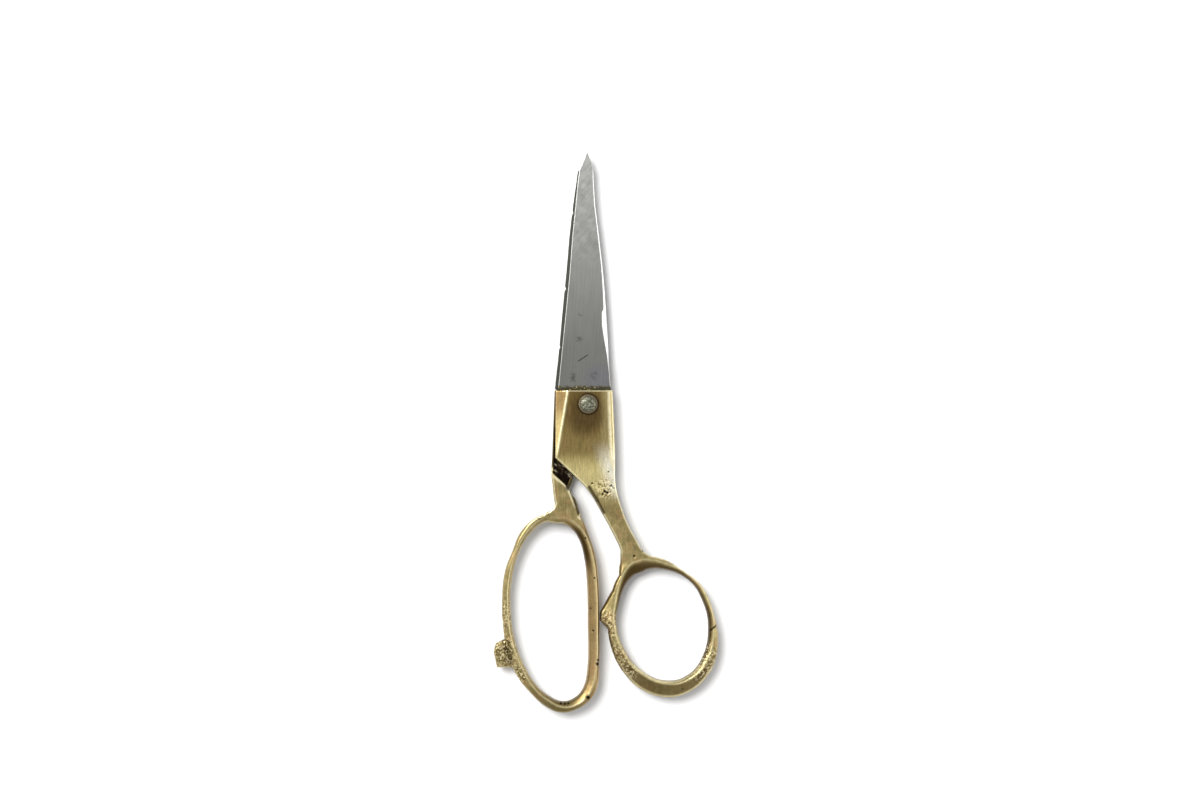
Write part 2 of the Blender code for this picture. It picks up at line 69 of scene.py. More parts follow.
SPINE_CHAMFER_TAPER, SPINE_CHAMFER_SLOPE, SPINE_CHAMFER_STEP = 0.167, 0.19, 0.13
SPINE_CHAMFER_POINT = -19.2
FINGER_SPINE = 8.4
EDGE_CHAMFER, EDGE_CHAMFER_SLOPE = 1.7, 0.41
EDGE_LEAN = 0.036           # the bolster's edge side widens towards the bow
SEAM, SEAM_WIDTH = 0.07, 0.22           # the line where the two halves of the mould met


def section(node, level):
    """Closed loops of (x, y) in millimetres where a node is cut at a level above the ride."""
    shape = bmesh.new()
    shape.from_mesh(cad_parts[node].data)
    everything = shape.verts[:] + shape.edges[:] + shape.faces[:]
    height = (RIDE + level) * MM
    bmesh.ops.bisect_plane(shape, geom=everything, dist=1e-7, plane_co=(0, 0, height),
                           plane_no=(0, 0, 1), clear_inner=True, clear_outer=True)
    bmesh.ops.remove_doubles(shape, verts=shape.verts, dist=2e-5)
    loops = []
    left = dict.fromkeys(shape.verts)
    while left:
        here = next(iter(left))
        del left[here]
        loop = [here]
        while True:
            onward = [edge.other_vert(here) for edge in here.link_edges]
            onward = [vert for vert in onward if vert in left]
            if not onward:
                break
            here = onward[0]
            del left[here]
            loop.append(here)
        loops.append(np.array([(vert.co.x / MM, vert.co.y / MM) for vert in loop]))
    shape.free()
    return sorted(loops, key=lambda loop: -np.ptp(loop[:, 0]) * np.ptp(loop[:, 1]))


def eased(loop, sharp=35.0, rounds=2):
    """The loop with its shallow corners cut, and its sharp ones kept."""
    for _ in range(rounds):
        before = loop - np.roll(loop, 1, 0)
        after = np.roll(loop, -1, 0) - loop
        turn = np.abs(np.degrees(np.arctan2(before[:, 0] * after[:, 1] - before[:, 1] * after[:, 0],
                                            (before * after).sum(1))))
        points = []
        for point, back, ahead, angle in zip(loop, before, after, turn):
            if angle > sharp:
                points.append(point)
            else:
                points += [point - back / 4, point + ahead / 4]
        loop = np.array(points)
    return loop


def inside(loop, x, y):
    """Distance into a closed loop, negative outside it."""
    nearest = np.full(x.shape, 1e9)
    odd = np.zeros(x.shape, bool)
    for (x0, y0), (x1, y1) in zip(loop, np.roll(loop, -1, 0)):
        run, rise = x1 - x0, y1 - y0
        if run == 0 and rise == 0:
            continue
        along = np.clip(((x - x0) * run + (y - y0) * rise) / (run * run + rise * rise), 0, 1)
        nearest = np.minimum(nearest, (x - x0 - along * run) ** 2 + (y - y0 - along * rise) ** 2)
        if rise:
            spans = (y0 > y) != (y1 > y)
            odd ^= spans & (x < x0 + (y - y0) * run / rise)
    return np.where(odd, 1, -1) * np.sqrt(nearest)


def ramp(value, start, end):
    """0 before start, 1 after end, smooth between."""
    share = np.clip((value - start) / (end - start), 0, 1)
    return share * share * (3 - 2 * share)


def bent(value, width):
    """0 below zero and value above it, with a round bend of that width."""
    return (value + np.sqrt(value * value + width * width)) / 2


def grain(x, y, size, seed):
    """Smooth random relief from -1 to 1 with lumps of that size."""
    lattice = np.random.default_rng(seed).uniform(-1, 1, (512, 512))
    across, along = x / size + 100, y / size + 300
    column, row = np.floor(across).astype(int), np.floor(along).astype(int)
    right, up = ramp(across - column, 0, 1), ramp(along - row, 0, 1)
    low = lattice[column, row] * (1 - right) + lattice[column + 1, row] * right
    high = lattice[column, row + 1] * (1 - right) + lattice[column + 1, row + 1] * right
    return low * (1 - up) + high * up


def skin(name, field, corner, step):
    """Closed quad mesh where a field on a grid passes through zero, metal being below zero."""
    metal = field < 0
    size = np.array(field.shape) - 1
    steps = list(itertools.product((0, 1), repeat=3))
    filled = sum(metal[i:i + size[0], j:j + size[1], k:k + size[2]].astype(int)
                 for i, j, k in steps)
    live = (filled > 0) & (filled < 8)
    number = np.full(live.shape, -1)
    number[live] = np.arange(live.sum())
    cell = np.argwhere(live)
    total = np.zeros((len(cell), 3))
    hits = np.zeros(len(cell))
    for axis in range(3):
        for offset in (np.array(s) for s in steps if s[axis] == 0):
            ahead = offset.copy()
            ahead[axis] = 1
            start = field[tuple((cell + offset).T)]
            end = field[tuple((cell + ahead).T)]
            crossed = (start < 0) != (end < 0)
            share = np.where(crossed, start / np.where(crossed, start - end, 1), 0)
            point = offset + share[:, None] * (ahead - offset)
            total += np.where(crossed[:, None], point, 0)
            hits += crossed
    points = np.array(corner) + (cell + total / hits[:, None]) * step
    quads = []
    for axis in range(3):
        one, two = (axis + 1) % 3, (axis + 2) % 3
        start = np.take(metal, range(size[axis]), axis)
        end = np.take(metal, range(1, size[axis] + 1), axis)
        for outward in (True, False):
            edge = np.argwhere(start & ~end if outward else ~start & end)
            edge = edge[(edge[:, one] > 0) & (edge[:, two] > 0)]
            ring = []
            for back_one, back_two in ((0, 0), (1, 0), (1, 1), (0, 1)):
                around = edge.copy()
                around[:, one] -= back_one
                around[:, two] -= back_two
                ring.append(number[tuple(around.T)])
            quads.append(np.stack(ring if outward else ring[::-1], 1))
    quads = np.concatenate(quads)
    pairs = np.concatenate([quads[:, [a, (a + 1) % 4]] for a in range(4)])
    for _ in range(2):
        middle = np.zeros_like(points)
        np.add.at(middle, pairs[:, 0], points[pairs[:, 1]])
        count = np.bincount(pairs[:, 0], minlength=len(points))
        points += 0.5 * (middle / count[:, None] - points)
    mesh = bpy.data.meshes.new(name)
    mesh.from_pydata((points * MM).tolist(), [], quads.tolist())
    mesh.shade_smooth()
    return mesh, points


def bow_ridge(hole, x, y, stations):
    """How far outside the hole the ridge runs, from (angle, distance) stations round it."""
    middle = (hole.max(0) + hole.min(0)) / 2
    half = (hole.max(0) - hole.min(0)) / 2
    angle = np.degrees(np.arctan2((y - middle[1]) / half[1], (x - middle[0]) / half[0]))
    turns, gaps = np.array(sorted(stations)).T
    return np.interp(angle, turns, gaps, period=360)


def strokes(x, y, lines):
    """1 along each line drawn from (x, y) to (x, y) with a width, fading to 0 beside it."""
    drawn = np.zeros(x.shape)
    for x0, y0, x1, y1, width in lines:
        run, rise = x1 - x0, y1 - y0
        along = np.clip(((x - x0) * run + (y - y0) * rise) / (run * run + rise * rise), 0, 1)
        away = np.hypot(x - x0 - along * run, y - y0 - along * rise)
        drawn = np.maximum(drawn, np.exp(-((away / width) ** 4)))
    return drawn


def cast_handle(node, steel, outward, edge, lip, neck, ridge, pits, sandy, bright, dark):
    """Mesh of one casting, with its wear and painted highlights, painted shade and dark marks, cast
    grain and pits stored on its points.
    """
    outer, *holes = section(node, outward * PLAN_LEVEL)
    hole = eased(holes[0])
    outer = eased(outer)
    tang = section(steel, outward * TANG_LEVEL)[0]
    low, high = outer.min(0) - PLAN_MARGIN, outer.max(0) + PLAN_MARGIN
    across = np.arange(low[0], high[0], GRID)
    along = np.arange(low[1], high[1], GRID)
    depth = np.arange(-BOLSTER_DEPTH - DEPTH_MARGIN, BOLSTER_DEPTH + DEPTH_MARGIN, GRID)
    x, y = np.meshgrid(across, along, indexing="ij")

    # Outline, roughened by the sand of the mould.
    hole_gap = -inside(hole, x, y)
    gap = np.minimum(inside(outer, x, y), hole_gap)
    lumps = grain(x, y, COARSE_SAND, 3) * 0.5 + grain(x, y, FINE_SAND, 4) * 0.5
    bow = 1 - ramp(y, *neck)
    rough = np.zeros(x.shape)
    for centre_x, centre_y, radius in sandy:
        away = np.hypot(x - centre_x, y - centre_y)
        rough = np.maximum(rough, 1 - ramp(away, radius * 0.6, radius * 1.25))
    gap = gap + lumps * (0.03 + 0.05 * rough) * bow

    # Filed ridge of the bow, with a slope on each side.
    inward = bow_ridge(hole, x, y, ridge) - hole_gap
    slopes = INNER_SLOPE * bent(inward, RIDGE_ROUND)
    slopes = slopes + OUTER_FALL * ramp(-inward, -0.2, OUTER_FALL_WIDTH)
    top = BOLSTER_DEPTH + (BOW_DEPTH - BOLSTER_DEPTH - slopes + RIDGE_PROUD) * bow

    # Wide chamfer on the bolster's spine side, narrow one on its edge side.
    spine_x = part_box(node)[0].x / MM if edge > 0 else FINGER_SPINE
    spine_gap = np.abs(x - spine_x)
    taper = SPINE_CHAMFER_TAPER * (y - SPINE_CHAMFER_POINT)
    past_arris = np.clip(0.5 + taper, 0.0, SPINE_CHAMFER) - spine_gap
    spine_cut = bent(past_arris, 0.1) * SPINE_CHAMFER_SLOPE
    spine_cut = spine_cut + SPINE_CHAMFER_STEP * ramp(past_arris, 0, 0.4)
    widest = outer[np.argmax(outer[:, 0] * edge - 10 * np.abs(outer[:, 1]))]
    edge_gap = np.where(y > -26, np.abs(x - (widest[0] - edge * EDGE_LEAN * y)), 99)
    past_slim = EDGE_CHAMFER * ramp(y, -25.5, -20) - edge_gap
    cut = np.maximum(np.where(y > -22, spine_cut, 0), bent(past_slim, 0.15) * EDGE_CHAMFER_SLOPE)
    top = top - cut * ramp(y, -27, -18)
    # The chamfers' arrises become bright lines of painted highlight.
    arris = np.exp(-((past_arris - 0.2) / 0.4) ** 2) * ramp(y, -20, -17)
    slim_arris = 1.2 * np.exp(-((past_slim - 0.1) / 0.5) ** 2) * ramp(y, -28, -20)
    arris = np.maximum(arris, slim_arris)

    # Casting pits.
    pit, sunk = np.zeros(x.shape), np.zeros(x.shape)
    for pit_x, pit_y, radius in pits:
        hollow = np.exp(-((x - pit_x) ** 2 + (y - pit_y) ** 2) / (radius * radius))
        pit = np.maximum(pit, hollow)
        sunk = np.maximum(sunk, 0.8 * radius * hollow)
    top = top + lumps * (0.015 + 0.10 * rough) * (0.3 + 0.7 * bow) - sunk

    # Rounded solid, cut back by the ride face, the tang's pocket and the rivet's bore.
    side_round = 0.35 + 0.75 * bow
    face_round = 0.30 + 1.7 * bow
    u = depth[None, None, :]
    seam = SEAM * np.exp(-(u / SEAM_WIDTH) ** 2) * bow[:, :, None]
    side = np.maximum(0, (side_round[:, :, None] - gap[:, :, None] - seam) / side_round[:, :, None])
    face = np.maximum(0, (np.abs(u) - (top - face_round)[:, :, None]) / face_round[:, :, None])
    size = side_round[:, :, None] * side + face_round[:, :, None] * face + 0.1
    field = (np.hypot(side, face) - 1) * size / (side + face + 0.1)
    (lip_x0, lip_y0), (lip_x1, lip_y1) = lip
    slope = (lip_y1 - lip_y0) / (lip_x1 - lip_x0)
    above_lip = (y - lip_y0 - slope * (x - lip_x0)) / math.hypot(1, slope)
    field = np.maximum(field, np.minimum(RIDE_FACE - u, above_lip[:, :, None]))
    in_tang = inside(tang, x, y) + TANG_CLEARANCE
    pocket = np.minimum(np.minimum(TANG_FAR - u, u - TANG_NEAR), in_tang[:, :, None])
    field = np.maximum(field, pocket)
    bore = BORE - np.hypot(x, y)
    field = np.maximum(field, bore[:, :, None])
    if outward < 0:
        field = field[:, :, ::-1]
        corner_z = RIDE - depth[-1]
    else:
        corner_z = RIDE + depth[0]
    mesh, points = skin(node + "_casting", field, (across[0], along[0], corner_z), GRID)

    # Wear and painted highlights, painted shade and dark marks, and dirt, stored on the points for
    # the brass.
    column = np.clip((points[:, 0] - across[0]) / GRID, 0, len(across) - 1.001)
    row = np.clip((points[:, 1] - along[0]) / GRID, 0, len(along) - 1.001)
    i, j = column.astype(int), row.astype(int)
    on_face = ramp(np.abs(points[:, 2] - RIDE), 1.2, 2.6)
    # Worn edges, the chamfers' arrises, the bows' ridges and the bright strokes are painted pale:
    # partly real wear, partly painted highlights.
    wear_and_highlight = (1 - ramp(np.abs(gap - 0.35), 0.1, 0.35)) * (1 - bow) * 0.8
    wear_and_highlight = wear_and_highlight * (1 - ramp(y, -21, -18) * ramp(spine_gap, 3.0, 1.5)) + arris
    wear_and_highlight = wear_and_highlight + (0.85 if outward > 0 else 0.75) * np.exp(-(inward / 0.30) ** 2) * bow
    if outward > 0:
        # Along the bottom of the thumb's bow, a pale line just inside its edges: a painted
        # highlight.
        wear_and_highlight = wear_and_highlight + 0.7 * np.exp(-((gap - 0.5) / 0.35) ** 2) * (1 - ramp(y, -97.0, -91.0))
    wear_and_highlight = np.maximum(wear_and_highlight, strokes(x, y, bright))
    layers = {"wear_and_highlight": np.clip(wear_and_highlight, 0, 1), "inner": ramp(inward, 0.1, 1.4) * bow,
              "rough": rough, "pit": ramp(pit, 0.1, 0.5), "dark": strokes(x, y, dark),
              "chamfer": ramp(cut, 0.13, 0.22), "bow": bow}
    for layer, values in layers.items():
        values = values[i, j]
        if layer == "pit":
            values = values * on_face
        if layer == "wear_and_highlight":
            values = values * ramp(points[:, 2] - RIDE, -6.0 if outward > 0 else -3.6, -0.5)
        stored = mesh.attributes.new(layer, "FLOAT", "POINT")
        stored.data.foreach_set("value", values.astype(np.float32))
    return mesh


class Value:
    """A number from a material's node, on which Python's operators add Math nodes."""

    def __init__(self, finish, socket):
        self.finish = finish
        self.socket = socket

    def maths(self, operation, first, second):
        return self.finish.node("ShaderNodeMath", {"operation": operation}, {0: first, 1: second})

    def __add__(self, other):
        return self.maths("ADD", self, other)

    def __sub__(self, other):
        return self.maths("SUBTRACT", self, other)

    def __mul__(self, other):
        return self.maths("MULTIPLY", self, other)

    __radd__ = __add__
    __rmul__ = __mul__

    def __rsub__(self, other):
        return self.maths("SUBTRACT", other, self)


class Finish:
    """A Principled material under construction."""

    def __init__(self, name, metallic=1.0, roughness=0.35):
        self.material = bpy.data.materials.new(name)
        self.material.use_nodes = True
        self.nodes = self.material.node_tree.nodes
        self.links = self.material.node_tree.links
        self.shader = self.nodes["Principled BSDF"]
        self.shader.inputs["Metallic"].default_value = metallic
        self.shader.inputs["Roughness"].default_value = roughness
        place = self.node("ShaderNodeTexCoord", {}, {}, "Object")
        self.place = self.node("ShaderNodeVectorMath", {"operation": "SCALE"},
                               {0: place, "Scale": 1 / MM})
        self.x, self.y, self.z = (self.node("ShaderNodeSeparateXYZ", {}, {0: self.place}, axis)
                                  for axis in "XYZ")

    def node(self, kind, settings, sockets, output=0):
        made = self.nodes.new(kind)
        for name, value in settings.items():
            setattr(made, name, value)
        for name, value in sockets.items():
            if isinstance(value, Value):
                self.links.new(value.socket, made.inputs[name])
            else:
                made.inputs[name].default_value = value
        return Value(self, made.outputs[output])

    def feed(self, **sockets):
        """Links values to the shader, Base_Color meaning its Base Color socket."""
        for name, value in sockets.items():
            self.links.new(value.socket, self.shader.inputs[name.replace("_", " ")])

    def layer(self, name):
        return self.node("ShaderNodeAttribute", {"attribute_name": name}, {}, "Fac")

    def band(self, value, start, end):
        """0 at start and 1 at end, smooth between."""
        return self.node("ShaderNodeMapRange", {"interpolation_type": "SMOOTHSTEP"},
                         {"Value": value, "From Min": start, "From Max": end})

    def noise(self, size, detail=3.0, stretch=(1, 1, 1), turn=0.0, roughness=0.55):
        """Noise from 0 to 1 with lumps of that size in millimetres, drawn out along each axis."""
        turned = self.node("ShaderNodeVectorRotate", {"rotation_type": "Z_AXIS"},
                           {"Vector": self.place, "Angle": math.radians(turn)})
        scaled = self.node("ShaderNodeVectorMath", {"operation": "DIVIDE"},
                           {0: turned, 1: [size * s for s in stretch]})
        return self.node("ShaderNodeTexNoise", {}, {"Vector": scaled, "Scale": 1.0,
                                                    "Detail": detail, "Roughness": roughness})

    def near(self, centre, radius, fade=0.5):
        """1 round a point of the plan, falling to 0 at the radius."""
        away = self.node("ShaderNodeVectorMath", {"operation": "DISTANCE"},
                         {0: self.flat(), 1: (*centre, 0.0)}, "Value")
        return 1 - self.band(away, radius * (1 - fade), radius)

    def flat(self):
        return self.node("ShaderNodeVectorMath", {"operation": "MULTIPLY"},
                         {0: self.place, 1: (1.0, 1.0, 0.0)})

    def mix(self, share, first, second):
        """Colours as (red, green, blue) on a screen's 0 to 255, or another mix."""
        return self.node("ShaderNodeMix", {"data_type": "RGBA", "clamp_factor": True},
                         {0: share, 6: self.colour(first), 7: self.colour(second)}, 2)

    def colour(self, tone):
        if isinstance(tone, Value):
            return tone
        return (*((part / 255) ** 2.2 for part in tone), 1.0)

    def shade(self, colour, amount):
        """The colour made darker or lighter by a factor that varies."""
        grey = self.node("ShaderNodeCombineXYZ", {}, {0: amount, 1: amount, 2: amount})
        return self.node("ShaderNodeVectorMath", {"operation": "MULTIPLY"}, {0: colour, 1: grey})

    def bump(self, height, depth):
        return self.node("ShaderNodeBump", {}, {"Height": height, "Distance": depth * MM,
                                                "Strength": 1.0})


def dress(name, mesh, finish, body, node):
    """Adds a piece that stands for a CAD node and moves with its body."""
    piece = bpy.data.objects.new(name, mesh)
    bpy.context.scene.collection.objects.link(piece)
    mesh.materials.clear()
    mesh.materials.append(finish.material)
    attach(piece, body)
    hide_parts(node)
    return piece


TAN, OLIVE, STRAW, COPPERY = (164, 148, 102), (134, 121, 80), (186, 168, 120), (172, 138, 96)
BRUSHED_TOP, BRUSHED_MIDDLE, BRUSHED_END = (118, 100, 60), (134, 117, 74), (178, 162, 106)
BRUSHED_PINK, BRUSHED_RIGHT = (176, 130, 90), (170, 154, 108)
OLD_OIL_AND_DARK_REFLECTION, GRIT_HOLLOW, GRIT_GLINT = (82, 66, 42), (76, 61, 37), (234, 219, 176)
CHAMFER_REFLECTION_TOP, CHAMFER_REFLECTION_END, CHAMFER_REFLECTION_RIGHT = (158, 132, 88), (206, 184, 128), (164, 148, 104)
SHOULDER_HIGHLIGHT, SHOULDER_BRIGHT_HIGHLIGHT = (222, 208, 146), (255, 252, 236)
FINGER_PINK, INNER_SHADE_BROWN, SHADE_AND_DARK_MARKS, PIT = (182, 146, 104), (74, 59, 33), (62, 52, 34), (26, 20, 14)
RUBBED_BOLSTER_HIGHLIGHT, RUBBED_BOW_HIGHLIGHT = (255, 244, 200), (238, 224, 172)


def brass(name, outward):
    """Old cast brass: brown where it is handled least, pale on worn edges and ridges, which also
    carry painted highlights, with painted reflections on the bolster and painted shade in the bows.
    """
    metal = Finish(name, roughness=0.34)
    wear_and_highlight, inner, rough = metal.layer("wear_and_highlight"), metal.layer("inner"), metal.layer("rough")
    pit, chamfer, bow = metal.layer("pit"), metal.layer("chamfer"), metal.layer("bow")
    dark = metal.layer("dark")
    cloud = metal.noise(7.0, 3.0)
    mottle = metal.noise(1.6, 4.0)
    sand = metal.noise(0.55, 2.0)
    streak = metal.noise(0.42, 2.0, (1, 9, 1))
    colour = metal.mix(metal.band(cloud, 0.3, 0.7), TAN, OLIVE)
    colour = metal.mix(metal.band(mottle, 0.45, 0.75) * 0.5, colour, STRAW)
    colour = metal.mix(metal.band(metal.noise(4.0, 2.0), 0.52, 0.70) * 0.5, colour, COPPERY)
    # The bolster's flat is painted darker near the rivet and lighter towards the shank: partly its
    # own tone, partly a painted reflection of its slightly rounded face.
    bolster = metal.band(metal.y, -30.0, -20.0)
    flat = metal.mix(metal.band(metal.y, -3.0, -16.0), BRUSHED_TOP, BRUSHED_MIDDLE)
    flat = metal.mix(metal.band(metal.y, -16.0, -24.0), flat, BRUSHED_END)
    colour = metal.mix(bolster, colour, flat)
    colour = metal.mix(bolster * metal.band(metal.noise(1.0, 2.0, (1, 9, 1)), 0.54, 0.74) * 0.25,
                       colour, BRUSHED_PINK)
    colour = metal.mix(bolster * metal.band(metal.x, 3.5, 6.0) * 0.6, colour, BRUSHED_RIGHT)
    # Darker round the rivet: old oil, and a painted dark reflection of the bolster's rounded face.
    round_rivet = metal.node("ShaderNodeVectorMath", {"operation": "DISTANCE"},
                             {0: metal.node("ShaderNodeVectorMath", {"operation": "MULTIPLY"},
                                            {0: metal.place, 1: (1.0, 0.75, 0.0)}),
                              1: (-0.8, -2.2, 0.0)}, "Value")
    oil_and_dark_reflection = (1 - metal.band(round_rivet, 3.5, 8.5)) * (0.8 + 0.5 * (mottle - 0.5))
    colour = metal.mix(oil_and_dark_reflection * (1 - bow), colour, OLD_OIL_AND_DARK_REFLECTION)
    # The chamfers are painted paler than the flat: a painted reflection of their tilted faces.
    chamfer_reflection = metal.mix(metal.band(metal.y, 0.0, -8.0), CHAMFER_REFLECTION_TOP, CHAMFER_REFLECTION_END)
    chamfer_reflection = metal.mix(metal.band(metal.x, 4.0, 5.0), chamfer_reflection, CHAMFER_REFLECTION_RIGHT)
    colour = metal.mix(chamfer * bolster, colour, metal.shade(chamfer_reflection, 0.85 + 0.3 * cloud))
    if outward > 0:
        # Painted highlights on the rounded shoulder of the thumb's shank.
        shoulder_highlight = metal.band(metal.y, -17.0, -26.0) * (1 - metal.band(metal.y, -30.0, -36.0))
        colour = metal.mix(shoulder_highlight * 0.6, colour, SHOULDER_HIGHLIGHT)
        shoulder_bright_highlight = metal.band(metal.y, -12.0, -24.0) * (1 - metal.band(metal.y, -30.0, -36.0))
        shoulder_bright_highlight = shoulder_bright_highlight * metal.band(metal.x + 0.30 * metal.y, -4.5, 1.5)
        colour = metal.mix(shoulder_bright_highlight * (0.72 + 0.6 * (sand - 0.5)), colour, SHOULDER_BRIGHT_HIGHLIGHT)
        # Painted shade on the bow's inner slopes, and the bottom of the bow painted darker.
        shade = inner * 0.95 + 0.6 * bow * metal.band(metal.y, -91.0, -99.0)
    else:
        colour = metal.mix(metal.band(metal.x, -4.0, -1.0) * 0.4, colour, FINGER_PINK)
        # Painted shade on the bow's inner slopes, strongest under the top of the hole, and the
        # bottom of the bow painted darker.
        shade = inner * (0.2 + 0.8 * metal.band(metal.y, -66.0, -54.0))
        shade = shade * metal.band(metal.x, -22.0, -16.0)
        shade = shade + 0.5 * metal.band(metal.y, -100.0, -107.0)
    colour = metal.mix(shade, colour, INNER_SHADE_BROWN)
    colour = metal.shade(colour, 1.0 + (1 - bow) * (streak - 0.5) * 1.0)
    colour = metal.shade(colour, 1.0 + (0.5 + 1.5 * rough) * (sand - 0.5))
    # Grit where the casting is rough: dark hollows, and painted glints on the grains.
    grit = metal.noise(0.65, 3.0)
    colour = metal.mix(rough * metal.band(grit, 0.50, 0.40) * 0.75, colour, GRIT_HOLLOW)
    colour = metal.mix(rough * metal.band(grit, 0.52, 0.62) * 0.75, colour, GRIT_GLINT)
    # Rubbed edges and ridges: worn brass with painted highlights.
    rubbed_highlight = metal.mix(bow, RUBBED_BOLSTER_HIGHLIGHT, RUBBED_BOW_HIGHLIGHT)
    colour = metal.mix(wear_and_highlight * (0.75 + 0.8 * (mottle - 0.5)), colour, rubbed_highlight)
    # Dark strokes: painted shade along shaded edges and beside the finger's lip, a crack in the
    # thumb's bow, and other darker marks.
    shade_and_dark_marks = dark * (0.92 - 0.9 * rough * metal.band(sand, 0.46, 0.60))
    colour = metal.mix(shade_and_dark_marks, colour, SHADE_AND_DARK_MARKS)
    colour = metal.mix(pit, colour, PIT)
    metal.feed(Base_Color=colour,
               Roughness=0.28 + 0.14 * mottle + 0.12 * rough + 0.25 * pit - 0.06 * wear_and_highlight)
    relief = 0.25 * rough * (sand + grit) + 0.06 * mottle + 0.10 * (1 - bow) * streak + 0.05 * sand
    metal.feed(Normal=metal.bump(relief, 0.22))
    return metal


thumb_ridge = ((-180, 0.9), (163, 1.6), (149, 2.0), (139, 2.6), (128, 3.8), (120, 4.6), (111, 4.3),
               (102, 3.3), (82, 2.0), (45, 1.5), (0, 2.0), (-45, 1.7), (-90, 0.9), (-135, 0.9))
thumb_pits = ((5.8, -31.7, 0.50), (6.8, -32.1, 0.45), (5.1, -32.6, 0.40), (8.2, -29.6, 0.38),
              (1.3, -28.8, 0.38), (7.2, -24.6, 0.30), (16.5, -55.0, 0.45), (19.6, -53.1, 0.40),
              (34.0, -103.0, 0.25), (44.4, -81.7, 0.28), (45.0, -81.1, 0.26),
              (45.6, -80.5, 0.24))
thumb_sandy = ((12.5, -93.0, 7.5), (41.0, -93.0, 7.5), (7.0, -80.0, 5.5), (6.0, -30.5, 4.0))
# Bright strokes: painted highlights along the shank's left edge.
thumb_bright = ((-2.9, -29.1, 2.0, -35.6, 0.40), (2.0, -35.6, 7.4, -46.6, 0.40))
# Dark strokes: painted shade along the shaded left edge of the shank, a crack and a darker mark on
# the bow.
thumb_dark = ((0.3, -30.2, 3.4, -35.2, 0.75), (3.4, -35.2, 5.6, -39.4, 0.50),
              (44.0, -82.1, 46.0, -80.1, 0.30), (6.0, -82.5, 8.0, -88.5, 0.6))
thumb_mesh = cast_handle("thumb_handle", "thumb_blade", 1, 1, ((8.4, -25.8), (-5.4, -32.3)),
                         (-60.0, -52.0), thumb_ridge, thumb_pits, thumb_sandy, thumb_bright,
                         thumb_dark)
dress("thumb_handle_casting", thumb_mesh, brass("thumb_handle_brass", 1), "thumb_half",
      "thumb_handle")


# Finger handle. The other casting, round the tang of the lower blade: a short shank below a
# raised lip, a long bow for three fingers, and the sawn stub of the gate it was poured through.
finger_ridge = ((-180, 1.1), (135, 1.2), (90, 1.8), (45, 2.6), (0, 3.4), (-45, 2.8), (-90, 1.4),
                (-135, 1.1))
finger_pits = ((-1.1, -48.5, 0.3), (-17.8, -41.6, 0.3), (-10.0, -108.3, 0.38), (-8.6, -108.4, 0.38),
               (-7.3, -108.2, 0.38), (-0.2, -106.1, 0.6), (3.2, -94.0, 0.5), (3.4, -92.6, 0.4),
               (-0.3, -98.6, 0.4), (0.7, -74.0, 0.3), (1.6, -82.0, 0.3), (2.2, -63.0, 0.3))
finger_sandy = ((-31.0, -89.0, 6.5), (-29.0, -76.0, 5.0), (-26.0, -98.0, 4.5))
# Bright strokes: painted highlights along the lip and down the shank's edge, and two pale marks.
finger_bright = ((-3.7, -40.9, -3.0, -41.6, 0.45), (-13.1, -25.9, -8.6, -29.3, 0.50),
                 (-8.6, -29.3, -7.3, -31.4, 0.50), (-7.3, -31.4, -4.8, -37.4, 0.35),
                 (-31.2, -90.4, -30.4, -91.4, 0.30))
# Dark strokes: painted shade beside the thumb half and by the lip, and darker marks on the stub and
# the shank.
finger_dark = ((-11.3, 5.0, -12.6, -22.0, 1.3), (-6.2, -26.2, -7.4, -30.4, 1.1),
               (-6.3, -31.0, -3.6, -39.5, 0.60), (-30.0, -86.3, -28.6, -92.5, 1.6),
               (-14.0, -32.5, -13.6, -36.5, 0.35))
finger_mesh = cast_handle("finger_handle", "finger_blade", -1, -1, ((-11.8, -25.8), (-4.1, -33.1)),
                          (-47.0, -39.0), finger_ridge, finger_pits, finger_sandy, finger_bright,
                          finger_dark)
dress("finger_handle_casting", finger_mesh, brass("finger_handle_brass", -1), "finger_half",
      "finger_handle")


# Blades. Forged steel, each in one piece with the tang that the brass holds. The outer face is
# ground and dull, the bevel along the cutting edge is whetted, and it and the spine's chamfer are
# painted near white as a painted reflection, and the tang is black.
BLADE_LEVEL = 0.2           # where the CAD blade shows its whole outline
BRASS_END = 5.0
STEEL, TIP_STEEL = 2.2, 1.1             # thickness at the brass and near the tip
TAPER_LENGTH = 80.0
BEND = -0.35                # the blades lean a little over their middle
LAND, CHAMFER = 0.22, 0.15
NICK_WIDTH = 0.55


def crossings(loop, y):
    """Lowest and highest x where a loop crosses a height y."""
    found = []
    for (x0, y0), (x1, y1) in zip(loop, np.roll(loop, -1, 0)):
        if min(y0, y1) <= y < max(y0, y1):
            found.append(x0 + (x1 - x0) * (y - y0) / (y1 - y0))
    return min(found), max(found)


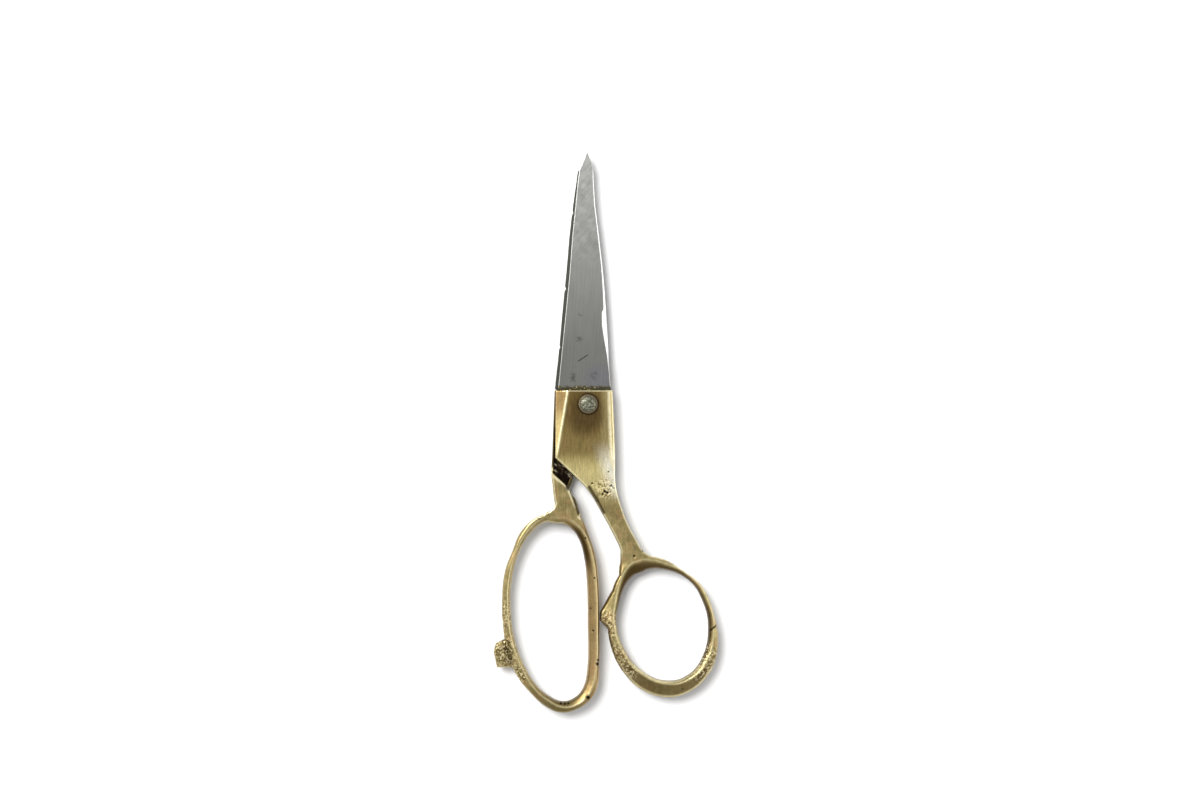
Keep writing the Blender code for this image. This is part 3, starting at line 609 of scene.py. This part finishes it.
def blade_mesh(node, outward, edge, nicks, swell):
    """Lofted steel from the end of the tang to the tip, its edge moved out by (height, swell)."""
    outline = section(node, outward * BLADE_LEVEL)[0]
    low, high = outline[:, 1].min() + 0.01, outline[:, 1].max() - 0.01
    stations = np.concatenate([np.arange(low, BRASS_END, 0.8), np.arange(BRASS_END, high, 0.35),
                               [high]])
    bevels = ((5.0, 0.2), (12.0, 0.35), (18.0, 0.65), (23.0, 1.25), (28.0, 1.75), (33.0, 1.55),
              (34.5, 0.85), (40.0, 0.7), (50.0, 0.5), (71.0, 0.42), (84.0, 0.30), (91.0, 0.15))
    rings, gaps = [], []
    for y in stations:
        left, right = crossings(outline, y)
        edge_x, spine_x = (right, left) if edge > 0 else (left, right)
        share = np.clip((y - BRASS_END) / TAPER_LENGTH, 0, 1)
        steel = STEEL - (STEEL - TIP_STEEL) * share
        far = RIDE_FACE + steel
        side = -edge
        if y > BRASS_END:
            bend = BEND * ramp(y, 45.0, 62.0) * (1 - ramp(y, 80.0, 90.0))
            spine_x += bend
            edge_x += bend + edge * np.interp(y, *np.array(swell).T)
            width = abs(spine_x - edge_x)
            bevel = min(np.interp(y, *np.array(bevels).T), width * 0.45)
            land, chamfer = LAND, min(CHAMFER, width * 0.1)
        else:
            bevel, land, chamfer = CHAMFER, steel - CHAMFER, CHAMFER
        for nick_y, nick_depth in nicks:
            edge_x += side * nick_depth * math.exp(-((y - nick_y) / NICK_WIDTH) ** 2)
        corners = [(edge_x, RIDE_FACE), (edge_x, RIDE_FACE + land * 0.5),
                   (edge_x + side * 0.06, RIDE_FACE + land)]
        for part in (0.3, 0.7, 0.94):
            corners.append((edge_x + side * bevel * part, RIDE_FACE + land + (steel - land) * part))
        shoulder_x = edge_x + side * (bevel + 0.06)
        corners.append((shoulder_x, far))
        for part in (0.25, 0.5, 0.75):
            corners.append((shoulder_x + (spine_x - side * chamfer - shoulder_x) * part, far))
        corners += [(spine_x - side * (chamfer + 0.08), far),
                    (spine_x - side * chamfer * 0.9, far - 0.03),
                    (spine_x - side * 0.05, far - chamfer * 0.9), (spine_x, far - chamfer),
                    (spine_x, (far + RIDE_FACE) / 2), (spine_x, RIDE_FACE)]
        for part in (0.33, 0.67):
            corners.append((spine_x + (edge_x - spine_x) * part, RIDE_FACE))
        rings.append([(x, y, RIDE + outward * u) for x, u in corners])
        gaps += [abs(x - edge_x) for x, u in corners]
    count = len(rings[0])
    points = [np.array(corner) * MM for ring in rings for corner in ring]
    faces = []
    for ring in range(len(rings) - 1):
        for here in range(count):
            after = (here + 1) % count
            faces.append((ring * count + here, ring * count + after,
                          (ring + 1) * count + after, (ring + 1) * count + here))
    faces += [tuple(range(count)), tuple(range(len(points) - count, len(points)))]
    mesh = bpy.data.meshes.new(node + "_steel")
    mesh.from_pydata([tuple(p) for p in points], [], faces)
    mesh.attributes.new("from_edge", "FLOAT", "POINT").data.foreach_set("value", gaps)
    shape = bmesh.new()
    shape.from_mesh(mesh)
    bmesh.ops.recalc_face_normals(shape, faces=shape.faces)
    shape.to_mesh(mesh)
    shape.free()
    mesh.shade_smooth()
    mesh.set_sharp_from_angle(angle=math.radians(11))
    return mesh


def bored(mesh):
    """The mesh with the rivet's hole through it."""
    drill_mesh = bpy.data.meshes.new("drill")
    shape = bmesh.new()
    bmesh.ops.create_cone(shape, cap_ends=True, segments=48, depth=0.04, radius1=BORE * MM,
                          radius2=BORE * MM)
    shape.to_mesh(drill_mesh)
    shape.free()
    drill = bpy.data.objects.new("drill", drill_mesh)
    blank = bpy.data.objects.new("blank", mesh)
    for thing in (drill, blank):
        bpy.context.scene.collection.objects.link(thing)
    cut = blank.modifiers.new("bore", "BOOLEAN")
    cut.object = drill
    solid = blank.evaluated_get(bpy.context.evaluated_depsgraph_get())
    done = bpy.data.meshes.new_from_object(solid)
    done.name = mesh.name
    for thing in (drill, blank):
        bpy.data.objects.remove(thing, do_unlink=True)
    return done


NEAR_BRASS, SHEEN_NEAR_TIP, BLUISH = (123, 123, 119), (177, 177, 173), (118, 116, 126)
STAIN, SMUDGE, SCRATCH = (86, 86, 82), (78, 80, 76), (52, 52, 50)
JOINT_DIRT, BRASS_SPATTER = (66, 62, 40), (226, 202, 132)
WHETTED_SHEEN, INNER_FACE = (250, 250, 248), (86, 87, 78)
CHARRED, SCALE, BARE_STREAK = (34, 28, 24), (96, 84, 66), (170, 160, 140)


def ground_steel(name, outward):
    """Dull ground steel with lengthwise polish, slanted grinding near the tip, and old stains,
    painted lighter towards the tip and near white on its bevels as painted reflections.
    """
    metal = Finish(name, roughness=0.34)
    cloud = metal.noise(14.0, 3.0)
    mottle = metal.noise(2.2, 4.0)
    polish = metal.noise(0.30, 2.0, (1, 60, 1), 4.0 * outward)
    grind = metal.noise(0.28, 2.0, (1, 18, 1), 38.0 * outward)
    # The steel is painted lighter towards the tip: a painted reflection.
    sheen_towards_tip = metal.node("ShaderNodeMapRange", {}, {"Value": metal.y, "From Min": 20.0,
                                                      "From Max": 84.0})
    colour = metal.mix(sheen_towards_tip, NEAR_BRASS, SHEEN_NEAR_TIP)
    colour = metal.shade(colour, 0.90 + 0.20 * cloud)
    colour = metal.mix(metal.near((4.0, 9.0), 9.0, 0.9) * 0.5, colour, BLUISH)
    stain = metal.band(mottle, 0.56, 0.74) * (1 - metal.band(metal.y, 8.0, 34.0))
    colour = metal.mix(stain * 0.35, colour, STAIN)
    ground = metal.band(metal.y, 44.0, 62.0)
    colour = metal.shade(colour, 1.0 + ground * (grind - 0.5) * 0.6)
    colour = metal.shade(colour, 1.0 + ground * (mottle - 0.5) * 0.7)
    colour = metal.shade(colour, 1.0 + (1 - ground) * (polish - 0.5) * 0.4)
    wave = metal.noise(1.7, 4.0)
    ragged = metal.y - 2.6 * (wave - 0.5)
    seam = 1 - metal.band(ragged, 6.0, 7.0)
    colour = metal.mix(seam * 0.9, colour, JOINT_DIRT)
    blobs = metal.band(metal.noise(0.55, 2.0), 0.62, 0.68) * (1 - metal.band(metal.y, 6.0, 6.6))
    colour = metal.mix(blobs, colour, BRASS_SPATTER)
    scratch_across = metal.x * 0.54 - metal.y * 0.84
    scratch_along = metal.x * 0.84 + metal.y * 0.54
    scratch = ((1 - metal.band(metal.node("ShaderNodeMath", {"operation": "ABSOLUTE"},
                                          {0: scratch_across + 15.0}), 0.08, 0.26))
               * metal.band(scratch_along, 5.0, 5.6) * (1 - metal.band(scratch_along, 9.2, 9.8)))
    if outward > 0:
        colour = metal.mix(scratch * 0.9, colour, SCRATCH)
        smudges = (metal.near((-3.3, 23.4), 1.8, 0.9) + metal.near((2.4, 10.2), 2.2, 0.9)
                   + metal.near((-5.4, 9.6), 2.4, 0.9) + metal.near((-3.0, 32.0), 1.2, 0.9))
        colour = metal.mix(smudges * metal.band(metal.noise(1.0, 4.0), 0.38, 0.60) * 0.75, colour,
                           SMUDGE)
    # The bevel and the spine's chamfer, picked by their tilt, are painted near white: whetted
    # polish and a painted reflection.
    tilt = metal.node("ShaderNodeSeparateXYZ", {},
                      {0: metal.node("ShaderNodeNewGeometry", {}, {}, "True Normal")}, "Z")
    outer_tilt = tilt * outward
    whetted_sheen = metal.band(outer_tilt, 0.15, 0.40) * (1 - metal.band(outer_tilt, 0.80, 0.97))
    whetted_sheen = whetted_sheen * metal.band(metal.y, 5.6, 7.0) * (1 - metal.band(metal.y, 82.0, 87.0))
    colour = metal.mix(whetted_sheen, colour, WHETTED_SHEEN)
    # The ride face is painted darker, most along the cutting edge.
    ride_side = 1 - metal.band(metal.z * outward, RIDE * outward + 0.34, RIDE * outward + 0.5)
    along_edge = 1 - metal.band(metal.layer("from_edge"), 1.1, 2.6)
    ride_face_darker = ride_side * metal.band(metal.y, 4.0, 6.0) * (0.35 + 0.57 * along_edge)
    colour = metal.mix(ride_face_darker, colour, INNER_FACE)
    tang = 1 - metal.band(metal.y, -20.0, -18.4)
    char = metal.mix(metal.band(metal.noise(1.4, 4.0), 0.50, 0.72), CHARRED, SCALE)
    char = metal.mix(metal.band(metal.noise(0.7, 2.0, (1, 4, 1), -50.0), 0.60, 0.66) * 0.7, char,
                     BARE_STREAK)
    colour = metal.mix(tang, colour, char)
    metal.feed(Base_Color=colour,
               Roughness=0.30 + 0.12 * mottle + 0.2 * seam - 0.10 * whetted_sheen + 0.15 * tang)
    relief = 0.05 * polish + 0.12 * ground * grind + 0.6 * seam * wave
    relief = relief + tang * 0.8 * mottle
    metal.feed(Normal=metal.bump(relief, 0.12))
    return metal


thumb_nicks = ((48.0, 0.10), (66.0, 0.12))
finger_nicks = ((69.2, 0.35), (41.7, 0.45), (20.6, 0.30))
thumb_swell = ((5.0, 0.4), (9.0, 0.3), (16.0, 0.1), (23.0, 0.0), (60.0, 0.0), (72.0, -0.25),
               (78.0, 0.0), (83.0, 0.3), (86.0, 0.45), (88.0, 0.25), (90.5, 0.0))
finger_swell = ((5.0, 0.8), (9.0, 0.7), (16.0, 0.35), (23.0, 0.2), (55.0, 0.15), (72.0, 0.35),
                (80.0, 0.35), (84.2, 0.5), (85.0, 0.0))
for node, body, outward, edge, nicks, swell in (
        ("thumb_blade", "thumb_half", 1, 1, thumb_nicks, thumb_swell),
        ("finger_blade", "finger_half", -1, -1, finger_nicks, finger_swell)):
    steel_mesh = bored(blade_mesh(node, outward, edge, nicks, swell))
    dress(node + "_steel", steel_mesh, ground_steel(node + "_ground_steel", outward), body, node)


# Pivot rivet. Soft steel pin peened over by hammer on both faces: a round head above, a flatter
# tail below, with a thin steel washer under each, painted darker at the rim where they meet the
# brass.
HEAD, PIN, SEAT = 2.8, 2.0, 4.8
HEAD_RISE = 0.98
ROUND_STEPS = 96
HAMMER_MARK = 1.1


def turned(name, profile, hammered=0.0, closed=False):
    """Round piece about the rivet's axis from (radius, height above the ride plane) points."""
    points, faces = [], []
    rows = len(profile)
    for column in range(ROUND_STEPS):
        turn = 2 * math.pi * column / ROUND_STEPS
        for radius, height in profile:
            x, y = radius * math.cos(turn), radius * math.sin(turn)
            dent = hammered * float(grain(np.array([x]), np.array([y]), HAMMER_MARK, 11)[0])
            rise = dent * (1 if height > 0 else -1) if abs(height) > SEAT + 0.2 else 0.0
            points.append((x * MM, y * MM, max((RIDE + height + rise) * MM, 0.0)))
    for column in range(ROUND_STEPS):
        after = (column + 1) % ROUND_STEPS
        for row in range(rows if closed else rows - 1):
            below = (row + 1) % rows
            faces.append((column * rows + row, column * rows + below,
                          after * rows + below, after * rows + row))
    mesh = bpy.data.meshes.new(name)
    mesh.from_pydata(points, [], faces)
    shape = bmesh.new()
    shape.from_mesh(mesh)
    bmesh.ops.remove_doubles(shape, verts=shape.verts, dist=1e-7)
    bmesh.ops.recalc_face_normals(shape, faces=shape.faces)
    shape.to_mesh(mesh)
    shape.free()
    mesh.shade_smooth()
    mesh.set_sharp_from_angle(angle=math.radians(40))
    return mesh


HAMMERED_LOW, HAMMERED_HIGH = (88, 88, 74), (150, 149, 132)
WASHER_GREY, WASHER_RIM_DARK = (112, 104, 84), (54, 42, 28)


def peened(name, dark):
    """Hammered steel, dull, greyer away from the crown and darker at the rim."""
    metal = Finish(name, roughness=0.36)
    mottle = metal.noise(0.7, 3.0)
    away = metal.node("ShaderNodeVectorMath", {"operation": "LENGTH"}, {0: metal.flat()}, "Value")
    colour = metal.mix(metal.band(mottle, 0.40, 0.62), HAMMERED_LOW, HAMMERED_HIGH)
    colour = metal.mix(metal.band(away, 2.4, 2.9) * dark, colour, WASHER_GREY)
    # A dark ring at the rim, where the washer meets the brass.
    colour = metal.mix(metal.band(away, 3.2, 3.6) * dark, colour, WASHER_RIM_DARK)
    metal.feed(Base_Color=colour, Roughness=0.28 + 0.2 * mottle)
    metal.feed(Normal=metal.bump(mottle, 0.25))
    return metal


head = [(HEAD * math.sin(math.radians(a)), SEAT + 0.25 + HEAD_RISE * math.cos(math.radians(a)))
        for a in range(0, 91, 9)]
tail = [(HEAD, -SEAT - 0.3), (2.5, -SEAT - 0.8), (1.9, -SEAT - 1.2), (1.0, -SEAT - 1.25),
        (0.0, -SEAT - 1.25)]
rivet_mesh = turned("rivet", head + [(HEAD, SEAT), (PIN, SEAT), (PIN, -SEAT), (HEAD, -SEAT)] + tail,
                    hammered=0.10)
dress("pivot_rivet_peened", rivet_mesh, peened("peened_rivet_steel", 0.6), "finger_half",
      "pivot_rivet")

for node, side in (("head_washer", 1), ("tail_washer", -1)):
    ring = [(BORE, 3.9), (BORE, 4.7), (3.45, 4.7), (3.72, 4.6), (3.88, 4.4), (3.9, 4.1),
            (3.8, 3.92), (3.6, 3.9)]
    washer_mesh = turned(node, [(radius, side * height) for radius, height in ring], closed=True)
    dress(node + "_worn", washer_mesh, peened(node + "_steel", 1.0), "finger_half", node)


# Table, light and camera. A pale table under a white tent. One soft lamp at the upper left
# throws the shadows, and two panels are seen only by the polished metal.
REACH = 3.0
table_mesh = bpy.data.meshes.new("table")
table_mesh.from_pydata([(-REACH, -REACH, 0), (REACH, -REACH, 0), (REACH, REACH, 0),
                        (-REACH, REACH, 0)], [], [(0, 1, 2, 3)])
table = bpy.data.objects.new("table", table_mesh)
bpy.context.scene.collection.objects.link(table)
paper = Finish("pale_paper", metallic=0.0, roughness=0.9)
paper.shader.inputs["Base Color"].default_value = (0.65, 0.65, 0.65, 1.0)
paper.shader.inputs["Specular IOR Level"].default_value = 0.0
table_mesh.materials.append(paper.material)

tent = bpy.data.worlds.new("tent")
tent.use_nodes = True
tent.node_tree.nodes["Background"].inputs["Color"].default_value = (1.0, 1.0, 1.0, 1.0)
tent.node_tree.nodes["Background"].inputs["Strength"].default_value = 0.85
bpy.context.scene.world = tent


def soft_lamp(name, place, size, power, on_metal):
    """A round lamp aimed at the rivet, seen by the table or by the polished metal."""
    light = bpy.data.lights.new(name, "AREA")
    light.shape = "DISK"
    light.size = size
    light.energy = power
    lamp = bpy.data.objects.new(name, light)
    lamp.location = place
    lamp.rotation_euler = (-Vector(place)).to_track_quat("-Z", "Y").to_euler()
    lamp.visible_glossy = on_metal
    lamp.visible_diffuse = not on_metal
    bpy.context.scene.collection.objects.link(lamp)


soft_lamp("table_lamp", (-0.55, 0.52, 1.6), size=0.95, power=50.0, on_metal=False)
soft_lamp("left_panel", (-1.2, 0.9, 1.2), size=0.9, power=30.0, on_metal=True)
soft_lamp("right_panel", (1.5, -0.1, 0.9), size=0.7, power=3.5, on_metal=True)

FRAME_WIDTH = 0.4346        # what the camera takes in, level with the ride plane
LENS, SENSOR = 100.0, 36.0
camera_data = bpy.data.cameras.new("camera")
camera_data.lens = LENS
camera_data.sensor_width = SENSOR
camera = bpy.data.objects.new("camera", camera_data)
camera.location = (0.00427, 0.00145, RIDE * MM + FRAME_WIDTH * LENS / SENSOR)
bpy.context.scene.collection.objects.link(camera)
bpy.context.scene.camera = camera
bpy.context.scene.view_settings.view_transform = "Standard"
